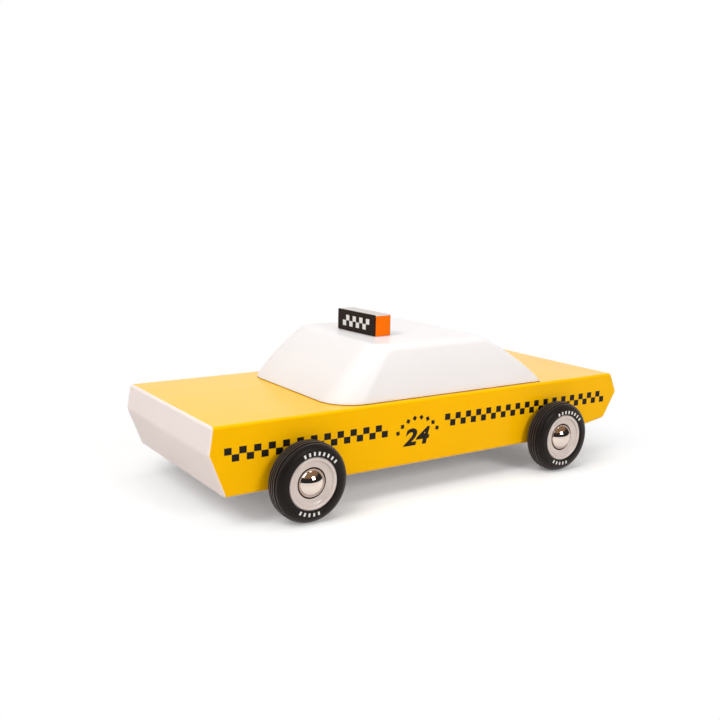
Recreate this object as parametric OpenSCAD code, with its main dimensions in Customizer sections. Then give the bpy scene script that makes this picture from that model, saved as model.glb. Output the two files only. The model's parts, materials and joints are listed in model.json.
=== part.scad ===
// Wooden toy taxi: a painted body block on two wheel sets, a cabin block dowelled to the deck
// and a loose roof sign held by a pair of disc magnets.
// Millimetres. The nose faces -Y and the wheels stand on z = 0. The origin is on the ground
// below the middle of the car.

/* [Body block] */
// Length of the body from nose edge to tail edge
body_l = 184; // [165:1:205]
// Width of the body
body_w = 72; // [70:1:80]
// Height of the body from underside to deck
body_h = 23.4; // [21:0.1:28]
// Height of the nose edge above the underside
nose_edge_h = 14.4; // [11:0.1:17]
// How far the front edge of the deck sits behind the nose edge
nose_top_back = 1.4; // [0.5:0.1:4]
// How far the front edge of the underside sits behind the nose edge
nose_foot_back = 5.6; // [2:0.1:9]
// Height of the tail edge above the underside
tail_edge_h = 15.4; // [12:0.1:17]
// How far the rear edge of the deck sits ahead of the tail edge
tail_top_back = 3.7; // [0.5:0.1:5]
// Height of the foot of the tail above the underside
tail_foot_h = 4.9; // [3:0.1:8]
// How far the foot of the tail sits ahead of the tail edge
tail_foot_back = 6.6; // [3:0.1:9]
// Radius on the edges of the body
body_edge_r = 1; // [0.5:0.1:1.5]
// Radius on the foot of the tail
tail_foot_r = 2; // [1:0.1:3]

/* [Cabin block] */
// Length of the cabin at the deck
cabin_l = 94.4; // [80:0.2:110]
// Width of the cabin at the deck
cabin_w = 68; // [58:0.2:70]
// Height of the roof above the deck
cabin_h = 19.1; // [15:0.1:24]
// Distance from the nose edge to the foot of the windscreen
cabin_back = 47.7; // [40:0.1:60]
// How far the top of the windscreen leans back
windscreen_run = 17; // [8:0.1:22]
// How far the top of the rear screen leans forward
rear_screen_run = 23.3; // [14:0.1:30]
// How far the top of each side leans in
side_lean = 3.8; // [0:0.1:6]
// Radius between the roof and the screens and sides
roof_edge_r = 3.8; // [2:0.1:4]
// Radius of the front corners at the deck
front_corner_r = 12; // [4:0.1:16]
// Radius of the front corners at the roof
front_roof_corner_r = 8.8; // [5.5:0.1:12]
// Radius of the rear corners at the deck
rear_corner_r = 0.8; // [0.4:0.1:3]
// Radius of the rear corners at the roof
rear_roof_corner_r = 4.2; // [4.1:0.1:6]
// How far the windscreen swells out at half height
windscreen_swell = 0.1; // [0:0.1:1]
// How far the rear screen swells out at half height
rear_screen_swell = 1; // [0:0.1:2]

/* [Wheels] */
// Distance between the two axles
wheelbase = 112.4; // [100:0.2:125]
// Distance from the nose edge to the front axle
front_axle_back = 32.6; // [26:0.1:40]
// Diameter of the tyres
tyre_d = 27; // [25:0.1:30]
// Width of the tyres
tyre_w = 8.4; // [7.5:0.1:11]
// Radius on the shoulders of the tyres
tyre_shoulder_r = 3.2; // [2:0.1:3.6]
// Radial clearance of the tyres on their rims
tyre_fit = 0.02; // [0:0.01:0.05]
// Radius where a tyre meets the lip of its rim
tyre_bead_r = 0.8; // [0.4:0.1:1.2]
// Height of the underside above the ground
ride_h = 10.7; // [10.2:0.1:10.9]
// Gap between a tyre and the side of the body
wheel_gap = 0.9; // [0.6:0.1:2]
// Diameter of the lip of the rims
rim_d = 17.8; // [17:0.1:20]
// Diameter of the drum of the rims, which the tyre grips
rim_drum_d = 16.6; // [15:0.1:16.8]
// Width of the lip of the rims
rim_lip_w = 1.4; // [0.6:0.1:1.8]
// How far the lip of the rims lies below the side of the tyre
rim_lip_set = 0.3; // [0.1:0.1:0.8]
// Depth of the dish of the rims below the lip
rim_dish_h = 1.4; // [1:0.1:3]
// Diameter of the hubcaps
hubcap_d = 9.8; // [8:0.1:10.5]
// Height of the dome of the hubcaps
hubcap_dome_h = 2.8; // [1.5:0.1:3.5]
// Depth of the seat of the hubcaps below the dish
hubcap_seat_h = 0.8; // [0.4:0.1:1.2]
// Gap round the hubcaps in their seat
hubcap_gap = 0.35; // [0.1:0.05:0.5]
// Number of grooves round each tread
groove_count = 4; // [2:1:5]
// Width of a tread groove
groove_w = 0.35; // [0.2:0.05:0.4]
// Depth of a tread groove
groove_h = 0.35; // [0.2:0.05:0.6]
// Distance from one tread groove to the next
groove_pitch = 0.7; // [0.6:0.05:0.8]

/* [Axles] */
// Diameter of the axles
axle_d = 2.5; // [2:0.1:2.6]
// Radial clearance of the axles in their bushes
axle_clearance = 0.05; // [0.02:0.01:0.1]
// Wall of the axle bushes
bush_wall = 0.6; // [0.4:0.05:0.7]
// Length of the axle bushes
bush_l = 12; // [8:0.5:18]
// How far the bushes stand out of the side of the body
bush_proud = 0.5; // [0.2:0.05:0.5]
// How far the axles reach into the hubcaps
axle_tip_l = 1.6; // [1:0.1:2]

/* [Roof sign] */
// Length of the sign across the car
sign_l = 24; // [18:0.1:28]
// Thickness of the sign along the car
sign_t = 7.4; // [6:0.1:9]
// Height of the sign
sign_h = 8; // [6:0.1:12]
// Radius on the long edges of the sign
sign_edge_r = 0.8; // [0.4:0.1:1.5]
// Distance from the foot of the windscreen to the middle of the sign
sign_back = 32.7; // [28:0.1:44]
// How far the sign is turned from square to the car, in degrees
sign_turn = 3; // [0:1:20]

/* [Magnets and dowels] */
// Diameter of the disc magnets
magnet_d = 4.6; // [4:0.1:5]
// Thickness of the disc magnets
magnet_t = 2; // [1.5:0.1:3]
// Radial clearance of the sign round its magnet
magnet_clearance = 0.06; // [0.02:0.01:0.1]
// Diameter of the cabin dowels
dowel_d = 8; // [6:0.1:10]
// Length of the cabin dowels
dowel_l = 18; // [12:0.5:22]
// Glue space past each end of a dowel
dowel_gap = 0.5; // [0.2:0.1:1]
// Distance between the two cabin dowels
dowel_pitch = 36; // [24:1:44]

/* [Hidden] */
$fn = 96;

// Overrun of every cut past the face that it opens
cut = 1;
// Thickness of the slices that the cabin is lofted through
slice_t = 0.02;
// Steps round each corner of a cabin slice, and up the round of the roof edge
corner_steps = 8;
roof_steps = 5;
// Height of the swollen slice as a share of the height of the cabin
swell_height_share = 0.5;

// Lengthwise places, measured from the nose edge
nose_y = -body_l / 2;
tail_y = body_l / 2;
cabin_front_y = nose_y + cabin_back;
cabin_rear_y = cabin_front_y + cabin_l;
front_axle_y = nose_y + front_axle_back;
rear_axle_y = front_axle_y + wheelbase;
sign_y = cabin_front_y + sign_back;
dowel_mid_y = (cabin_front_y + windscreen_run + cabin_rear_y - rear_screen_run) / 2;

// Heights above the ground
deck_z = ride_h + body_h;
roof_z = deck_z + cabin_h;
axle_z = tyre_d / 2;

// Wheel sizes, with the height h of a wheel profile measured outwards from the inner side of the tyre
axle_r = axle_d / 2;
bush_bore_r = axle_r + axle_clearance;
bush_r = bush_bore_r + bush_wall;
wheel_x = body_w / 2 + wheel_gap;
tyre_r = tyre_d / 2;
rim_r = rim_d / 2;
drum_r = rim_drum_d / 2;
hubcap_r = hubcap_d / 2;
hubcap_seat_r = hubcap_r + hubcap_gap;
lip_h = tyre_w - rim_lip_set;
dish_h = lip_h - rim_dish_h;
seat_h = dish_h - hubcap_seat_h;
axle_half_l = wheel_x + seat_h + axle_tip_l;
dome_r = (pow(hubcap_r, 2) + pow(hubcap_dome_h, 2)) / (2 * hubcap_dome_h);

body_paint = [0.99, 0.70, 0.02];
cabin_paint = [0.95, 0.94, 0.92];
sign_paint = [0.95, 0.42, 0.03];
bare_wood = [0.80, 0.64, 0.42];

// Direction from point p towards point q, of length 1
function towards(p, q) = (q - p) / norm(q - p);

// Place of a corner that is written as x, y and the radius of its round
function place(corner) = [corner.x, corner.y];

// Half of the angle at corner b of the corner a, b, c
function half_angle(a, b, c) = acos(towards(b, a) * towards(b, c)) / 2;

// Centre of the round of radius r at corner b
function round_centre(a, b, c, r) =
    let (way = towards(b, a) + towards(b, c))
    b + way / norm(way) * r / sin(half_angle(a, b, c));

// Points where that round leaves the edges towards a and c
function round_ends(a, b, c, r) =
    let (reach = r / tan(half_angle(a, b, c)))
    [b + towards(b, a) * reach, b + towards(b, c) * reach];

// Convex outline through corners that are each written as x, y and the radius of the round
module rounded_outline(corners) {
    last = len(corners) - 1;
    points = [for (corner = corners) place(corner)];
    before = [for (i = [0 : last]) points[i == 0 ? last : i - 1]];
    after = [for (i = [0 : last]) points[i == last ? 0 : i + 1]];
    intersection() {
        polygon(points);
        union() {
            polygon([for (i = [0 : last]) each round_ends(before[i], points[i], after[i], corners[i].z)]);
            for (i = [0 : last])
                translate(round_centre(before[i], points[i], after[i], corners[i].z)) circle(corners[i].z);
        }
    }
}

// Rectangle about the origin with equal rounds
module rounded_rectangle(size, r) {
    ends = [[-1, -1], [1, -1], [1, 1], [-1, 1]];
    rounded_outline([for (end = ends) [end.x * size.x / 2, end.y * size.y / 2, r]]);
}

// Side outline of the body, as y, z and radius, from the nose edge round by the underside.
// The underside starts to rise below the rear axle.
side_corners = [
    [nose_y, ride_h + nose_edge_h, body_edge_r],
    [nose_y + nose_foot_back, ride_h, body_edge_r],
    [rear_axle_y, ride_h, body_edge_r],
    [tail_y - tail_foot_back, ride_h + tail_foot_h, tail_foot_r],
    [tail_y, ride_h + tail_edge_h, body_edge_r],
    [tail_y - tail_top_back, deck_z, body_edge_r],
    [nose_y + nose_top_back, deck_z, body_edge_r]
];

// Puts a drawing in x and y on the car's side, as y and z, and raises it along x
module raise_from_side(width) {
    rotate([90, 0, 90]) linear_extrude(width, center = true) children();
}

// Puts a drawing in x and y on the car's front, as x and z, and raises it along y
module raise_from_front(length) {
    rotate([90, 0, 0]) linear_extrude(length, center = true) children();
}

// Bore right across the car at an axle
module axle_bore(y) {
    translate([0, y, axle_z]) rotate([0, 90, 0]) cylinder(r = bush_r, h = body_w + 2 * cut, center = true);
}

// Space for a dowel, half in the body and half in the cabin
module dowel_hole(y) {
    translate([0, y, deck_z]) cylinder(d = dowel_d, h = dowel_l + 2 * dowel_gap, center = true);
}

front_dowel_y = dowel_mid_y - dowel_pitch / 2;
rear_dowel_y = dowel_mid_y + dowel_pitch / 2;

module body_block() color(body_paint) difference() {
    intersection() {
        raise_from_side(body_w) rounded_outline(side_corners);
        translate([0, 0, ride_h + body_h / 2])
            raise_from_front(body_l + 2 * cut) rounded_rectangle([body_w, body_h], body_edge_r);
    }
    axle_bore(front_axle_y);
    axle_bore(rear_axle_y);
    dowel_hole(front_dowel_y);
    dowel_hole(rear_dowel_y);
}

// Points of one corner of a cabin slice, turning a quarter round from the angle start
function corner_points(x, y, r, start) = [
    for (i = [0 : corner_steps])
        let (a = start + 90 * i / corner_steps)
        [x + r * cos(a), y + r * sin(a)]
];

// Slice of the cabin at height z, from its front and rear ends, half width and corner radii
module cabin_slice(z, front, rear, half_w, front_r, rear_r) {
    translate([0, 0, z - slice_t]) linear_extrude(slice_t) polygon(concat(
        corner_points(half_w - rear_r, rear - rear_r, rear_r, 0),
        corner_points(-half_w + rear_r, rear - rear_r, rear_r, 90),
        corner_points(-half_w + front_r, front + front_r, front_r, 180),
        corner_points(half_w - front_r, front + front_r, front_r, 270)
    ));
}

// Loft from the deck through a slightly swollen middle to the rounded edge of the roof
module cabin_loft() {
    half_w = cabin_w / 2;
    share = swell_height_share;
    hull() {
        cabin_slice(deck_z + slice_t, cabin_front_y, cabin_rear_y, half_w, front_corner_r, rear_corner_r);
        cabin_slice(
            deck_z + cabin_h * share,
            cabin_front_y + windscreen_run * share - windscreen_swell,
            cabin_rear_y - rear_screen_run * share + rear_screen_swell,
            half_w - side_lean * share,
            front_corner_r * (1 - share) + front_roof_corner_r * share,
            rear_corner_r * (1 - share) + rear_roof_corner_r * share
        );
        for (i = [0 : roof_steps]) {
            climb = 90 * i / roof_steps;
            inset = roof_edge_r * (1 - cos(climb));
            cabin_slice(
                roof_z - roof_edge_r * (1 - sin(climb)),
                cabin_front_y + windscreen_run + inset,
                cabin_rear_y - rear_screen_run - inset,
                half_w - side_lean - inset,
                front_roof_corner_r - inset,
                rear_roof_corner_r - inset
            );
        }
    }
}

module cabin_block() color(cabin_paint) difference() {
    cabin_loft();
    dowel_hole(front_dowel_y);
    dowel_hole(rear_dowel_y);
    translate([0, sign_y, roof_z - magnet_t]) cylinder(d = magnet_d, h = magnet_t + cut);
}

module dowel(y) color(bare_wood) translate([0, y, deck_z]) cylinder(d = dowel_d, h = dowel_l, center = true);

module roof_magnet() color("silver") translate([0, sign_y, roof_z - magnet_t])
    cylinder(d = magnet_d, h = magnet_t);

// Stands a wheel piece that is drawn upwards on z = 0 against one side of the car
module on_wheel(side, y, x = wheel_x) {
    translate([side * x, y, axle_z]) rotate([0, side * 90, 0]) children();
}

module bush(side, y) color("dimgray") on_wheel(side, y, body_w / 2 + bush_proud - bush_l) difference() {
    cylinder(r = bush_r, h = bush_l);
    translate([0, 0, -cut]) cylinder(r = bush_bore_r, h = bush_l + 2 * cut);
}

module axle(y) color("silver") translate([0, y, axle_z]) rotate([0, 90, 0])
    cylinder(r = axle_r, h = 2 * axle_half_l, center = true);

// Half section of a tyre: radius along x, height along y
module tyre_section() {
    lip_foot_h = lip_h - rim_lip_w;
    bore_r = drum_r + tyre_fit;
    tread = [for (i = [0 : groove_count - 1]) tyre_w / 2 + (i - (groove_count - 1) / 2) * groove_pitch];
    difference() {
        rounded_outline([
            [bore_r, 0, tyre_bead_r],
            [tyre_r, 0, tyre_shoulder_r],
            [tyre_r, tyre_w, tyre_shoulder_r],
            [bore_r, tyre_w, tyre_bead_r]
        ]);
        translate([bore_r - cut, lip_foot_h]) square([rim_r - drum_r + cut, tyre_w]);
        for (h = tread) translate([tyre_r - groove_h, h - groove_w / 2]) square([groove_h + cut, groove_w]);
    }
}

module tyre(side, y) color([0.10, 0.09, 0.09]) on_wheel(side, y) rotate_extrude() tyre_section();

// Half section of a rim: a drum with a round bead as its lip, a bowl that runs from the bead
// down to the hubcap, and a seat for the hubcap
module rim_section() {
    bead_r = rim_lip_w / 2;
    bead_h = lip_h - bead_r;
    bowl_edge_r = rim_r - rim_lip_w;
    bowl_w = bowl_edge_r - hubcap_seat_r;
    bowl_h = bead_h - dish_h;
    bowl_r = (pow(bowl_w, 2) + pow(bowl_h, 2)) / (2 * bowl_h);
    difference() {
        union() {
            translate([axle_r, 0]) square([drum_r - axle_r, bead_h]);
            translate([axle_r, bead_h - bead_r]) square([rim_r - axle_r, bead_r]);
            translate([rim_r - bead_r, bead_h]) circle(bead_r);
        }
        intersection() {
            translate([hubcap_seat_r, dish_h + bowl_r]) circle(bowl_r);
            translate([0, dish_h]) square([bowl_edge_r, rim_dish_h]);
        }
        translate([0, seat_h]) square([hubcap_seat_r, lip_h - seat_h]);
    }
}

module rim(side, y) color(cabin_paint) on_wheel(side, y) rotate_extrude() rim_section();

// Dome on a short skirt, with a blind bore for the end of the axle
module hubcap(side, y) color("gainsboro") on_wheel(side, y, wheel_x + seat_h) difference() {
    union() {
        cylinder(r = hubcap_r, h = hubcap_seat_h);
        intersection() {
            translate([0, 0, hubcap_seat_h + hubcap_dome_h - dome_r]) sphere(dome_r);
            translate([0, 0, hubcap_seat_h]) cylinder(r = hubcap_r, h = hubcap_dome_h + cut);
        }
    }
    translate([0, 0, -cut]) cylinder(r = axle_r, h = axle_tip_l + cut);
}

// Puts a piece of the sign on the roof, turned as the sign is
module on_roof() {
    translate([0, sign_y, roof_z]) rotate([0, 0, sign_turn]) children();
}

module sign_block() color(sign_paint) on_roof() difference() {
    translate([0, 0, sign_h / 2]) raise_from_front(sign_t) rounded_rectangle([sign_l, sign_h], sign_edge_r);
    translate([0, 0, -cut]) cylinder(r = magnet_d / 2 + magnet_clearance, h = magnet_t + cut);
}

module sign_magnet() color("silver") on_roof() cylinder(d = magnet_d, h = magnet_t);

body_block();
cabin_block();
dowel(front_dowel_y);  // front_dowel
dowel(rear_dowel_y);  // rear_dowel
roof_magnet();
bush(1, front_axle_y);  // front_left_bush
bush(-1, front_axle_y);  // front_right_bush
bush(1, rear_axle_y);  // rear_left_bush
bush(-1, rear_axle_y);  // rear_right_bush
axle(front_axle_y);  // front_axle
axle(rear_axle_y);  // rear_axle
tyre(1, front_axle_y);  // front_left_tyre
tyre(-1, front_axle_y);  // front_right_tyre
tyre(1, rear_axle_y);  // rear_left_tyre
tyre(-1, rear_axle_y);  // rear_right_tyre
rim(1, front_axle_y);  // front_left_rim
rim(-1, front_axle_y);  // front_right_rim
rim(1, rear_axle_y);  // rear_left_rim
rim(-1, rear_axle_y);  // rear_right_rim
hubcap(1, front_axle_y);  // front_left_hubcap
hubcap(-1, front_axle_y);  // front_right_hubcap
hubcap(1, rear_axle_y);  // rear_left_hubcap
hubcap(-1, rear_axle_y);  // rear_right_hubcap
sign_magnet();
sign_block();
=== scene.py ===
# %% [markdown]
# # A wooden toy taxi in a small studio
# The real toy is a hardwood block on two wheel sets, with a white cabin glued to its deck and a loose sign
# on the roof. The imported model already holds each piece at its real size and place. This script dresses
# it: the pieces that show are modelled again with soft edges and paint zones, and the hidden ones keep
# their solids and get a better finish.

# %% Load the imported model
import json
import math

import bmesh
import bpy
from mathutils import Matrix, Quaternion, Vector


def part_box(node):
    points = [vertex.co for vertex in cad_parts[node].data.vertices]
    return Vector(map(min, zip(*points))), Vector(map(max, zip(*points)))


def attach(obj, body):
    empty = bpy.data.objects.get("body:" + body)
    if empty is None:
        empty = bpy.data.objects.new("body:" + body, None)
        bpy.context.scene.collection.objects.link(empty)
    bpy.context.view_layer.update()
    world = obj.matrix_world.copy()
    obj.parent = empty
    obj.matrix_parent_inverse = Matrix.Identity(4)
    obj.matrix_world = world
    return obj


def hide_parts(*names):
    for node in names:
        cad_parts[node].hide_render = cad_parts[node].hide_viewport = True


MM = 0.001
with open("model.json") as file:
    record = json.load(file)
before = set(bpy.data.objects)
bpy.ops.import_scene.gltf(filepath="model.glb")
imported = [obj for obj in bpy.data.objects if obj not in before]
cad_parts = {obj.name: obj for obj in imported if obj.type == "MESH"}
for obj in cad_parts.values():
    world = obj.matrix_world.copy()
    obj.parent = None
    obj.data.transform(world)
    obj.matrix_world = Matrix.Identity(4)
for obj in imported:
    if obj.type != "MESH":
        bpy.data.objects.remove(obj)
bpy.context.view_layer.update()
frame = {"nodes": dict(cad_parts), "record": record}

# %% [markdown]
# ## The camera
# A picture of a toy is usually taken from a little above its deck. The camera could be placed by eye, but
# here its place was worked out from the corners of the toy. So it is written as a place off the car's
# front left corner, a heading, a tilt, a small roll and a shift that sets the toy a little off the middle.

# %% Place the camera
CAMERA_PLACE = Vector((284.26, -201.53, 105.97)) * MM
CAMERA_AZIMUTH = math.radians(55.34)
CAMERA_ELEVATION = math.radians(10.2)
CAMERA_ROLL = math.radians(1.37)
CAMERA_SENSOR = 36
CAMERA_LENS = 45.35
CAMERA_NEAR = 10 * MM
CAMERA_SHIFT = (-0.0239, -0.0073)


def make_camera():
    data = bpy.data.cameras.new("studio_camera")
    data.sensor_width = CAMERA_SENSOR
    data.lens = CAMERA_LENS
    data.shift_x, data.shift_y = CAMERA_SHIFT
    data.clip_start = CAMERA_NEAR
    camera = bpy.data.objects.new("studio_camera", data)
    bpy.context.scene.collection.objects.link(camera)
    level = math.cos(CAMERA_ELEVATION)
    back = Vector((
        math.sin(CAMERA_AZIMUTH) * level,
        -math.cos(CAMERA_AZIMUTH) * level,
        math.sin(CAMERA_ELEVATION),
    ))
    turn = (-back).to_track_quat("-Z", "Y") @ Quaternion((0, 0, 1), CAMERA_ROLL)
    camera.rotation_mode = "QUATERNION"
    camera.rotation_quaternion = turn
    camera.location = CAMERA_PLACE
    return camera


bpy.context.scene.camera = make_camera()
bpy.context.scene.view_settings.view_transform = "Standard"
print("the camera stands", round(CAMERA_PLACE.length / MM), "mm from the middle of the car")

# %% [markdown]
# ## Helpers for finishes
# Every finish here is made of the same few steps: a noise in the piece's own coordinates, a pair of close
# colours mixed by it, a range of gloss, and a very shallow bump. Each gloss range stays on one side of a
# roughness of 0.27, because the render's noise filter treats smoother surfaces as mirrors, and a range
# across that value would leave specks. Object coordinates are used, because a finished piece sits at the
# origin with its place in its mesh, so one millimetre of noise is one millimetre on every piece and the
# pattern stays put when a body moves.

# %% Helpers for finishes
NOISE_MIDDLE = (0.3, 0.7)


def new_finish(name):
    finish = bpy.data.materials.new(name)
    finish.use_nodes = True
    tree = finish.node_tree
    return finish, tree, tree.nodes["Principled BSDF"]


def add_noise(tree, grain_mm, detail=3.0, stretch=(1, 1, 1)):
    """Noise whose patches are about grain_mm across, drawn out along an axis by a stretch above 1."""
    place = tree.nodes.new("ShaderNodeTexCoord")
    mapping = tree.nodes.new("ShaderNodeMapping")
    mapping.inputs["Scale"].default_value = [1 / (grain_mm * MM * along) for along in stretch]
    noise = tree.nodes.new("ShaderNodeTexNoise")
    noise.inputs["Scale"].default_value = 1.0
    noise.inputs["Detail"].default_value = detail
    tree.links.new(place.outputs["Object"], mapping.inputs["Vector"])
    tree.links.new(mapping.outputs["Vector"], noise.inputs["Vector"])
    return noise.outputs["Fac"]


def spread(tree, source, low, high):
    """Spreads the middle of a noise over a range of values."""
    node = tree.nodes.new("ShaderNodeMapRange")
    node.inputs["From Min"].default_value, node.inputs["From Max"].default_value = NOISE_MIDDLE
    node.inputs["To Min"].default_value = low
    node.inputs["To Max"].default_value = high
    tree.links.new(source, node.inputs["Value"])
    return node.outputs["Result"]


def mix_colours(tree, factor, first, second):
    """Mixes two colours, each a plain colour or the output of another node."""
    node = tree.nodes.new("ShaderNodeMix")
    node.data_type = "RGBA"
    for socket, colour in (("A", first), ("B", second)):
        if isinstance(colour, bpy.types.NodeSocket):
            tree.links.new(colour, node.inputs[socket])
        else:
            node.inputs[socket].default_value = (*colour, 1)
    tree.links.new(factor, node.inputs["Factor"])
    return node.outputs["Result"]


def two_tone(tree, source, first, second):
    """Mixes two colours by a noise."""
    return mix_colours(tree, spread(tree, source, 0, 1), first, second)


def drifted(colour, drift):
    """The same colour, a little darker."""
    return [channel * drift for channel in colour]


def add_bumps(tree, shader, layers):
    """Stacks shallow bumps: each layer is a noise, a strength and a height in millimetres."""
    below = None
    for source, strength, height_mm in layers:
        bump = tree.nodes.new("ShaderNodeBump")
        bump.inputs["Strength"].default_value = strength
        bump.inputs["Distance"].default_value = height_mm * MM
        tree.links.new(source, bump.inputs["Height"])
        if below:
            tree.links.new(below, bump.inputs["Normal"])
        below = bump.outputs["Normal"]
    tree.links.new(below, shader.inputs["Normal"])


print("the finishes are built from noise, two tones, a gloss range and shallow bumps")

# %% [markdown]
# ## Gloss paint on wood
# The blocks are sprayed in several coats and then lacquered, so the colour is deep and even and the
# surface mirrors a bright background at a low angle. Up close the lacquer has a faint orange-peel ripple,
# and the grain below it still shows as long, almost flat waves along the block. Both are shallow bumps
# here, and the colour and the gloss only drift by a few hundredths. The lacquer over the strong colours is
# a little warm, so they stay deep when seen square on and only turn pale at a low angle.

# %% Gloss paint
PEEL_MM = 0.9
GRAIN_MM = 2.2
GRAIN_DRAW = 24
DRIFT_MM = 18
GRAIN_HEIGHT_MM = 0.03
PEEL_HEIGHT_MM = 0.01
PEEL_BUMP = 0.1
GLOSSY = (0.14, 0.2)
SATIN = (0.3, 0.37)
CLEAR_LACQUER = (1.0, 1.0, 1.0)
WARM_LACQUER = (1.0, 0.5, 0.05)
BROWN_LACQUER = (1.0, 0.75, 0.65)


def gloss_paint(name, colour, drift, gloss=GLOSSY, grain_bump=0.08, shine=0.14, lacquer=CLEAR_LACQUER):
    finish, tree, shader = new_finish(name)
    grain = add_noise(tree, GRAIN_MM, 2.0, (1, GRAIN_DRAW, 1))
    peel = add_noise(tree, PEEL_MM, 1.0)
    wide = add_noise(tree, DRIFT_MM, 1.0)
    tree.links.new(two_tone(tree, wide, colour, drifted(colour, drift)), shader.inputs["Base Color"])
    tree.links.new(spread(tree, wide, *gloss), shader.inputs["Roughness"])
    shader.inputs["Specular IOR Level"].default_value = shine
    shader.inputs["Specular Tint"].default_value = (*lacquer, 1)
    add_bumps(tree, shader, [(grain, grain_bump, GRAIN_HEIGHT_MM), (peel, PEEL_BUMP, PEEL_HEIGHT_MM)])
    return finish


taxi_yellow = gloss_paint("taxi_yellow_paint", (0.97, 0.505, 0.001), 0.98, lacquer=WARM_LACQUER)
cabin_white = gloss_paint("cabin_white_paint", (0.83, 0.805, 0.8), 0.985, SATIN, grain_bump=0.03)
tail_red = gloss_paint("tail_red_paint", (0.62, 0.035, 0.02), 0.95, lacquer=WARM_LACQUER)
sign_orange = gloss_paint("sign_orange_paint", (0.95, 0.17, 0.002), 0.96, lacquer=WARM_LACQUER)
sign_black = gloss_paint(
    "sign_black_paint", (0.022, 0.014, 0.01), 0.85, (0.3, 0.36), shine=0.06, lacquer=BROWN_LACQUER
)
nose_white = gloss_paint("nose_white_paint", (0.87, 0.775, 0.74), 0.985, SATIN, grain_bump=0.03)
sign_top = gloss_paint("sign_top_paint", (0.6, 0.55, 0.52), 0.96, (0.3, 0.4), grain_bump=0.03, shine=0.04)
# Painted shade: a dark brown for the faces of the fine undercut under the cabin, standing in for the shade
# in that seam.
seam_shade = gloss_paint("seam_brown_paint", (0.45, 0.26, 0.05), 0.8, (0.5, 0.6))
print("mixed eight paints")

# %% [markdown]
# ## Printing ink
# The checks and the numbers are printed on the lacquer by a pad or a screen. Ink dries less shiny than the
# lacquer and its film is a little uneven, so its colour and gloss drift over a fraction of a millimetre.

# %% Printing ink
INK_GRAIN_MM = 0.35
INK_GLOSS = (0.32, 0.45)
INK_SHINE = 0.12
INK_BUMP = 0.1
INK_HEIGHT_MM = 0.01


def printing_ink(name, colour, drift):
    finish, tree, shader = new_finish(name)
    film = add_noise(tree, INK_GRAIN_MM, 3.0)
    tree.links.new(two_tone(tree, film, colour, drifted(colour, drift)), shader.inputs["Base Color"])
    tree.links.new(spread(tree, film, *INK_GLOSS), shader.inputs["Roughness"])
    shader.inputs["Specular IOR Level"].default_value = INK_SHINE
    add_bumps(tree, shader, [(film, INK_BUMP, INK_HEIGHT_MM)])
    return finish


black_ink = printing_ink("black_ink", (0.014, 0.011, 0.008), 0.7)
white_ink = printing_ink("white_ink", (0.8, 0.78, 0.75), 0.93)
print("mixed two inks")

# %% [markdown]
# ## Rubber and plastics
# The tyres are moulded rubber, the rims glossy white plastic and the bushes plain dark plastic. One recipe
# serves them all, because a moulded surface is even in colour and takes its fine texture from the mould. A
# film of dust is a sheen: it shows where the rubber is seen at a low angle, as on the tread, and not face
# on.

# %% Rubber and plastics
DUST_TINT = (1.0, 0.87, 0.82)
MOULD_HEIGHT_MM = 0.02


def moulded(name, colour, drift, grain_mm, gloss, bump, shine, dust=0.0):
    """Moulded material: a fine drift of colour and gloss, a bump from the mould and a film of dust."""
    finish, tree, shader = new_finish(name)
    skin = add_noise(tree, grain_mm, 4.0)
    tree.links.new(two_tone(tree, skin, colour, drifted(colour, drift)), shader.inputs["Base Color"])
    tree.links.new(spread(tree, skin, *gloss), shader.inputs["Roughness"])
    shader.inputs["Specular IOR Level"].default_value = shine
    shader.inputs["Sheen Weight"].default_value = dust
    shader.inputs["Sheen Tint"].default_value = (*DUST_TINT, 1)
    add_bumps(tree, shader, [(skin, bump, MOULD_HEIGHT_MM)])
    return finish


tyre_rubber = moulded(
    "tyre_rubber", (0.007, 0.0045, 0.0035), drift=0.75, grain_mm=0.5, gloss=(0.34, 0.44),
    bump=0.12, shine=0.1, dust=0.22,
)
rim_plastic = moulded(
    "rim_plastic", (0.68, 0.6, 0.56), drift=0.985, grain_mm=3.0, gloss=(0.19, 0.25), bump=0.05, shine=0.4,
)
bush_plastic = moulded(
    "bush_plastic", (0.09, 0.09, 0.1), drift=0.85, grain_mm=0.6, gloss=(0.5, 0.62), bump=0.15, shine=0.4,
)
# Painted shade: a near black for the sunk seat round each hubcap, standing in for the shade in the gap.
seat_shade = moulded(
    "seat_shade", (0.016, 0.013, 0.011), drift=0.8, grain_mm=0.4, gloss=(0.6, 0.7), bump=0.1, shine=0.1,
)
print("moulded four materials")

# %% [markdown]
# ## Metals and bare wood
# The hubcaps are chromed, the axles ground steel and the magnets nickel-plated. Metals differ mostly in
# colour, gloss and the way their fine marks run: even on plating, and round the rod on ground steel. The
# dowels are bare beech, whose grain is the same kind of noise drawn out along the dowel.

# %% Metals and bare wood
METAL_HEIGHT_MM = 0.005
EVEN_MARKS = (1, 1, 1)
GROUND_MARKS = (1, 8, 8)
BEECH_LIGHT = (0.62, 0.4, 0.19)
BEECH_DARK = (0.45, 0.26, 0.11)
BEECH_GRAIN_MM = 0.7
BEECH_GRAIN_DRAW = (1, 1, 14)
BEECH_GLOSS = (0.5, 0.68)
BEECH_BUMP = 0.3
BEECH_HEIGHT_MM = 0.05


def metal(name, colour, drift, grain_mm, draw, gloss, bump):
    """Metal whose fine marks are drawn out along the axes given in draw."""
    finish, tree, shader = new_finish(name)
    marks = add_noise(tree, grain_mm, 4.0, draw)
    tree.links.new(two_tone(tree, marks, colour, drifted(colour, drift)), shader.inputs["Base Color"])
    tree.links.new(spread(tree, marks, *gloss), shader.inputs["Roughness"])
    shader.inputs["Metallic"].default_value = 1.0
    add_bumps(tree, shader, [(marks, bump, METAL_HEIGHT_MM)])
    return finish


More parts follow.
